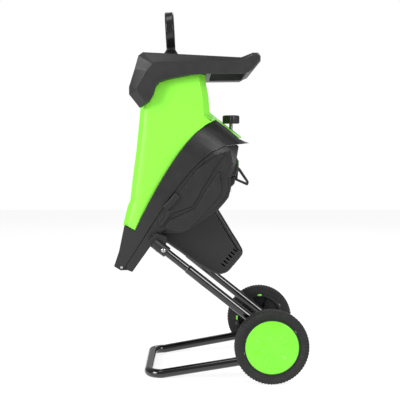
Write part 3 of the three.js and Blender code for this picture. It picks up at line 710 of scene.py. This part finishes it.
@dataclass
class Wheel:
    """One wheel: a ribbed tyre on a spoked rim, with a domed cap pressed into it."""

    name: str
    side: int
    lugs: int = 72
    facets: int = 6
    groove: float = 1.5
    rib: float = 0.8
    petals: int = 8
    first_petal: float = math.radians(13)
    petal_middle: float = 33.5
    petal_half_long: float = 15.0
    petal_half_wide: float = 6.2
    petal_deep: float = 2.6
    spokes: int = 8
    clips: int = 4
    tyre_profile: tuple[tuple[float, float], ...] = (
        (67, -15), (72, -17), (77, -18.2), (81, -18.8), (84, -18.6), (86.2, -17.4), (87.8, -15.4),
        (88.6, -13), (89, -10.5), (89, -8), (89, -5.5), (89, -3), (89, -1), (89, 1), (89, 3),
        (89, 5.5), (89, 8), (89, 10.5), (88.6, 13), (87.8, 15.4), (86.2, 17.4), (84, 18.6),
        (81, 18.8), (78, 18.2),
        (75, 16.6), (72, 14.6), (69.5, 12.8), (67, 12))

    def placing(self) -> Matrix:
        """The placing of the wheel's own frame, whose Z points out from the machine."""
        low, high = place_of(f"{self.name}_tyre")
        return facing((low + high) / 2, Vector((0, self.side, 0)))

    def cut(self, radius: float, across: float, turn: float) -> float:
        """How much the tread pattern takes off the tyre's radius at a point."""
        tread = radius > 86.5
        slant = (1.9 * abs(across) / 11 + (math.pi / 2 if across > 0 else 0)) if tread else 0.0
        wave = 0.5 + 0.9 * math.cos(turn * self.lugs + slant)
        deep = self.groove if tread else 0.0
        middle = 0.7 if tread and abs(across) < 2 else 0.0
        return max(deep * min(max(wave, 0), 1), middle)

    def tyre(self) -> None:
        """Builds the tyre: ribs on its sides, and two rows of slanted blocks on its tread."""
        rings = []
        columns = self.lugs * self.facets
        for radius, across in self.tyre_profile:
            ring = []
            for i in range(columns):
                turn = 2 * math.pi * i / columns
                real = radius - self.cut(radius, across, turn)
                level = across
                if 70 < radius < 86.5:
                    wave = min(max(0.5 + 0.9 * math.cos(turn * self.lugs), 0), 1)
                    level = across - math.copysign(self.rib * wave, across)
                ring.append(Vector((real * math.cos(turn), real * math.sin(turn), level)))
            rings.append(ring)
        make(f"{self.name}_tyre_ribbed", placed(skin(rings, True), self.placing()), f"{self.name}_wheel",
             Finish.TYRE, [f"{self.name}_tyre"], 50)

    def rim(self) -> None:
        """Builds the rim, with ribs between its hub and its ring on the inner side."""
        profile = [(4.3, -16), (14, -16), (15, -15), (16.5, -6.5), (18, -5), (55, -5), (57, -6.5),
                   (59, -14), (60, -15), (66.2, -15), (66.6, -14.6), (66.6, 11.6), (66.2, 12),
                   (60.5, 12), (60, 11.5), (58, 0), (56, -1), (18, -1), (16, 0), (15, 8),
                   (14.5, 8.5), (4.3, 8.5)]
        shapes = [turned(profile, 96, True)]
        for i in range(self.spokes):
            turn = Matrix.Rotation(2 * math.pi * (i + 0.5) / self.spokes, 4, "Z")
            seat = Matrix.Translation((37, 0, -5)) @ Matrix.Rotation(math.pi, 4, "X")
            rib = placed(block((45, 3, 8.4), 0.97), seat)
            shapes.append(placed(rib, turn))
        make(f"{self.name}_rim_spoked", placed(joined(shapes), self.placing()), f"{self.name}_wheel",
             Finish.RIM_BLACK, [f"{self.name}_rim"])

    def dome(self, radius: float, turn: float) -> float:
        """The cap's height at a point: a shallow dome with leaf-shaped hollows."""
        level = 20 - 5.2 * (radius / 63.5) ** 2.2
        step = 2 * math.pi / self.petals
        off = (turn - self.first_petal + step / 2) % step - step / 2
        along = (radius * math.cos(off) - self.petal_middle) / self.petal_half_long
        if abs(along) >= 1:
            return level
        width = self.petal_half_wide * math.sqrt(1 - along * along) * (1 + 0.25 * along)
        share = radius * math.sin(off) / width
        hollow = max(0.0, 1 - share * share)
        return level - self.petal_deep * hollow ** 1.3 * (1 - along * along) ** 0.7

    def cap(self) -> None:
        """Builds the cap and its clips, whose ends show on the rim's inner side."""
        radii = [0.6] + [62.4 * i / 46 for i in range(1, 47)]
        rings = [circle(radius, lambda turn, r=radius: self.dome(r, turn), 192) for radius in radii]
        edge = ((63.2, 14.3), (63.5, 13.6), (63.5, 12.9), (63.0, 12.4), (0.6, 12.6))
        rings.extend(circle(radius, height, 192) for radius, height in edge)
        spin = Matrix.Rotation(0 if self.side < 0 else math.pi, 4, "Z")
        shape = placed(skin(rings), self.placing() @ spin)
        make(f"{self.name}_wheel_cap_domed", shape, f"{self.name}_wheel", Finish.CAP_GREEN,
             [f"{self.name}_wheel_cap"], 60)
        for i in range(self.clips):
            turn = Matrix.Rotation(2 * math.pi * i / self.clips, 4, "Z")
            seat = Matrix.Translation((63.2, 0, -14)) @ Matrix.Rotation(math.pi, 4, "X")
            clip = placed(block((4.6, 11, 2.2)), seat)
            make(f"{self.name}_cap_clip_{i + 1}", placed(clip, self.placing() @ turn), f"{self.name}_wheel",
                 Finish.CAP_GREEN)

    def build(self) -> None:
        """Builds and dresses the wheel."""
        self.tyre()
        self.rim()
        self.cap()
        ease(f"{self.name}_axle_spacer", Finish.RIM_BLACK, 0.4, suffix="sleeve")
        ease(f"{self.name}_push_nut", Finish.ZINC, 0.3, suffix="cap_nut")


@dataclass
class Casing:
    """The fixed cutter casing: its body, side covers, bag hooks, hinge pins and axle."""

    def build(self) -> None:
        """Builds and dresses the casing."""
        ease("lower_casing", Finish.CASING_BLACK, 0.9)
        ease("axle_rod", Finish.ZINC, 0.6, suffix="turned")
        for name, side in (("left", -1), ("right", 1)):
            ease(f"{name}_side_cover", Finish.CASING_BLACK, 0.8)
            ease(f"{name}_bag_hook", Finish.CASING_BLACK, 1.0)
            ease(f"{name}_hinge_pin", Finish.ZINC, 0.5, suffix="turned")


@dataclass
class MotorBox:
    """The motor box below the casing and its rear cover."""

    def build(self) -> None:
        """Builds and dresses the motor box."""
        ease("motor_box", Finish.CASING_BLACK, 1.6, 3)
        ease("motor_box_cover", Finish.CASING_BLACK, 1.6, 3)


@dataclass
class SwitchGear:
    """The switch box with its three buttons, the power inlet and the cable hook."""

    pin_r: float = 1.9
    pins: tuple[tuple[float, float], ...] = ((-5.2, 452), (5.2, 452), (0, 461))

    def build(self) -> None:
        """Builds and dresses the switch gear."""
        ease("switch_box", Finish.CASING_BLACK, 1.2, 3)
        ease("power_inlet", Finish.CASING_BLACK, 1.0, 3)
        ease("cable_hook", Finish.CASING_BLACK, 0.9)
        ease("start_button", Finish.START_GREEN, 0.8, 3, suffix="cap")
        ease("stop_button", Finish.STOP_RED, 0.8, 3, suffix="cap")
        ease("reset_button", Finish.RESET_BLACK, 0.6, 3, suffix="cap")
        out = Vector((1, 0, 0))
        for i, (y, z) in enumerate(self.pins):
            pin = turned([(0, 0), (self.pin_r, 0), (self.pin_r, 9.2), (self.pin_r - 0.6, 10), (0, 10)], 24)
            make(f"inlet_pin_{i + 1}", placed(pin, facing(Vector((48.2, y, z)), out, Vector((0, 1, 0)))),
                 "base", Finish.STEEL)


@dataclass
class Hopper:
    """The tilting hopper: green shell, skirt, collar with its handle, funnel and guard."""

    def build(self) -> None:
        """Builds and dresses the hopper."""
        ease("hopper_shell", Finish.HOPPER_GREEN, 1.6, 3)
        ease("hopper_skirt", Finish.CASING_BLACK, 1.2, 3)
        ease("hopper_collar", Finish.COLLAR_BLACK, 2.2, 4)
        ease("feed_funnel", Finish.COLLAR_BLACK, 0.8)
        ease("hopper_guard", Finish.COLLAR_BLACK, 1.0, 3)


@dataclass
class Lock:
    """The locking knob, its threaded stud and the clip that keeps it."""

    flutes: int = 12
    pitch: float = 1.5
    root: float = 4.25

    def build(self) -> None:
        """Builds and dresses the lock."""
        low, high = place_of("locking_knob")
        middle = (low + high) / 2
        radius = (high.x - low.x) / 2
        levels = [(0.9, 0), (0.985, 1.2), (1, 3), (1, 16), (0.985, 18.6), (0.92, 20.4),
                  (0.8, 21), (0.6, 20.6), (0.3, 20.2), (0.03, 20.1)]
        rings = []
        for share, height in levels:
            ring = []
            for i in range(self.flutes * 12):
                turn = 2 * math.pi * i / (self.flutes * 12)
                dip = max(0.0, math.cos(turn * self.flutes) - 0.25) * 1.9 * min(1, max(0, share * 3 - 2))
                reach = radius * share - dip
                ring.append(Vector((reach * math.cos(turn), reach * math.sin(turn), height)))
            rings.append(ring)
        place = Matrix.Translation((middle.x, middle.y, low.z))
        make("locking_knob_fluted", placed(skin(rings), place), "knob", Finish.RIM_BLACK, ["locking_knob"])
        self.thread()
        ease("stud_clip", Finish.ZINC, 0.3, suffix="pressed")

    def thread(self) -> None:
        """Builds the stud with its helical thread."""
        low, high = place_of("knob_stud")
        middle = (low + high) / 2
        crest = (high.x - low.x) / 2
        sides = 24
        rows = int((high.z - low.z) / self.pitch * 4) - 6
        rings = [circle(self.root - 0.8, low.z, sides)]
        for row in range(rows):
            ring = []
            for i in range(sides):
                turn = i / sides
                rise = (row / 4 + turn) * self.pitch
                flank = abs(((row / 4) % 1) - 0.5) * 2
                reach = self.root + (crest - self.root) * min(1.0, flank * 1.25)
                angle = 2 * math.pi * turn
                ring.append(Vector((reach * math.cos(angle), reach * math.sin(angle), low.z + 0.4 + rise)))
            rings.append(ring)
        rings.append(circle(self.root, high.z, sides))
        place = Matrix.Translation((middle.x, middle.y, 0))
        make("knob_stud_threaded", placed(skin(rings), place), "knob", Finish.ZINC, ["knob_stud"], 60)


@dataclass
class PushStick:
    """The push stick, parked upright in the hopper's guard."""

    def build(self) -> None:
        """Builds and dresses the push stick."""
        ease("push_stick", Finish.STICK_BLACK, 1.6, 3)


@dataclass
class CutterDrive:
    """The cutter disc, its gear train and the motor's inside, which keep their CAD shapes."""

    finishes: dict[str, Finish] = field(default_factory=lambda: {
        "blade_disc": Finish.STEEL, "blade_1": Finish.STEEL, "blade_2": Finish.STEEL,
        "cutter_shaft": Finish.STEEL, "cutter_gear": Finish.STEEL, "upper_bearing": Finish.STEEL,
        "lower_bearing": Finish.STEEL, "motor_rear_bearing": Finish.STEEL, "counter_blade": Finish.STEEL,
        "gear_plate": Finish.ALLOY, "gearbox_cup": Finish.ALLOY, "motor_end_bracket": Finish.ALLOY,
        "armature": Finish.COPPER, "stator": Finish.COPPER, "cooling_fan": Finish.RIM_BLACK,
        "left_brush_holder": Finish.COPPER, "right_brush_holder": Finish.COPPER,
        "feed_tube": Finish.COLLAR_BLACK})

    def build(self) -> None:
        """Dresses the drive."""
        for node, finish in self.finishes.items():
            dress(frame["nodes"][node], finish)
            LOG.info("%s: dressed as %s", node, finish.material.name)


# ------------------------------------------------------------------ studio
@dataclass
class Studio:
    """The pale floor, the soft lights and the camera at the machine's left side."""

    eye: tuple[float, float, float] = (-0.050, -2.280, 0.555)
    pitch: float = 3.2
    yaw: float = 0.7
    lens: float = 80.0
    floor_half: float = 6.0
    floor_glow: float = 0.8
    surround: float = 0.32

    def floor(self) -> None:
        """Lays the floor."""
        mesh = bpy.data.meshes.new("studio_floor")
        half = self.floor_half
        mesh.from_pydata([(-half, -half, 0), (half, -half, 0), (half, half, 0), (-half, half, 0)], [],
                         [(0, 1, 2, 3)])
        floor = bpy.data.objects.new("studio_floor", mesh)
        bpy.context.scene.collection.objects.link(floor)
        coat = Coat("painted_studio_floor", {
            "IOR": 1.45, "Specular IOR Level": 0.2, "Emission Color": (1, 1, 1, 1),
            "Emission Strength": self.floor_glow})
        coat.tint(coat.cloud(400), "#a4a4a4", "#a8a8a8")
        coat.gloss(coat.spread(coat.cloud(300), 0.85, 0.95))
        mesh.materials.append(coat.material)

    def lamp(self, name: str, place: Sequence[float], aim: Sequence[float], size: tuple[float, float],
             power: float) -> None:
        """Hangs one soft box.

        Args:
            name: The lamp's name.
            place: Where it stands, in metres.
            aim: The point that it faces.
            size: Its width and height.
            power: Its power in watts.
        """
        light = bpy.data.lights.new(name, "AREA")
        light.shape = "RECTANGLE"
        light.size, light.size_y = size
        light.energy = power
        lamp = bpy.data.objects.new(name, light)
        lamp.location = place
        lamp.rotation_euler = (Vector(aim) - Vector(place)).to_track_quat("-Z", "Y").to_euler()
        bpy.context.scene.collection.objects.link(lamp)

    def world(self) -> None:
        """Surrounds the stage with even light, dimmer than what the camera sees behind it."""
        world = bpy.data.worlds.new("white_studio")
        world.use_nodes = True
        tree = world.node_tree
        tree.nodes.clear()
        soft = add_node(tree, "ShaderNodeBackground", {"Color": (1, 1, 1, 1), "Strength": self.surround})
        seen = add_node(tree, "ShaderNodeBackground", {"Color": (1, 1, 1, 1), "Strength": 1.0})
        path = add_node(tree, "ShaderNodeLightPath")
        mixed = add_node(tree, "ShaderNodeMixShader", {}, {
            0: path.outputs["Is Camera Ray"], 1: soft.outputs[0], 2: seen.outputs[0]})
        add_node(tree, "ShaderNodeOutputWorld", {}, {"Surface": mixed.outputs[0]})
        bpy.context.scene.world = world

    def camera(self) -> None:
        """Stands the camera at the machine's left side."""
        data = bpy.data.cameras.new("side_camera")
        data.lens = self.lens
        data.sensor_width = 36
        camera = bpy.data.objects.new("side_camera", data)
        camera.location = self.eye
        camera.rotation_euler = (math.radians(90 - self.pitch), 0, math.radians(-self.yaw))
        bpy.context.scene.collection.objects.link(camera)
        bpy.context.scene.camera = camera

    def build(self) -> None:
        """Sets up the studio."""
        self.camera()
        self.floor()
        self.world()
        middle = (0, 0, 0.45)
        self.lamp("left_softbox", (-2.7, -2.3, 1.6), middle, (1.4, 1.8), 95)
        self.lamp("right_softbox", (2.3, -2.5, 1.9), middle, (1.2, 1.8), 70)
        self.lamp("rear_softbox", (0.6, 3.0, 2.4), middle, (2.4, 1.6), 18)
        self.lamp("top_softbox", (-0.3, -0.8, 3.4), middle, (1.2, 1.2), 14)
        bpy.context.scene.view_settings.view_transform = "Standard"


def main() -> None:
    """Builds the machine's sub-assemblies in order and notes the sizes."""
    logging.basicConfig(level=logging.INFO, format="%(message)s")
    Studio().build()
    parts = [Stand(), Wheel("left", -1), Wheel("right", 1), Casing(), MotorBox(), SwitchGear(),
             Hopper(), Lock(), PushStick(), CutterDrive()]
    for part in parts:
        part.build()
        LOG.info("built %s", type(part).__name__)


if __name__ == "__main__":
    main()
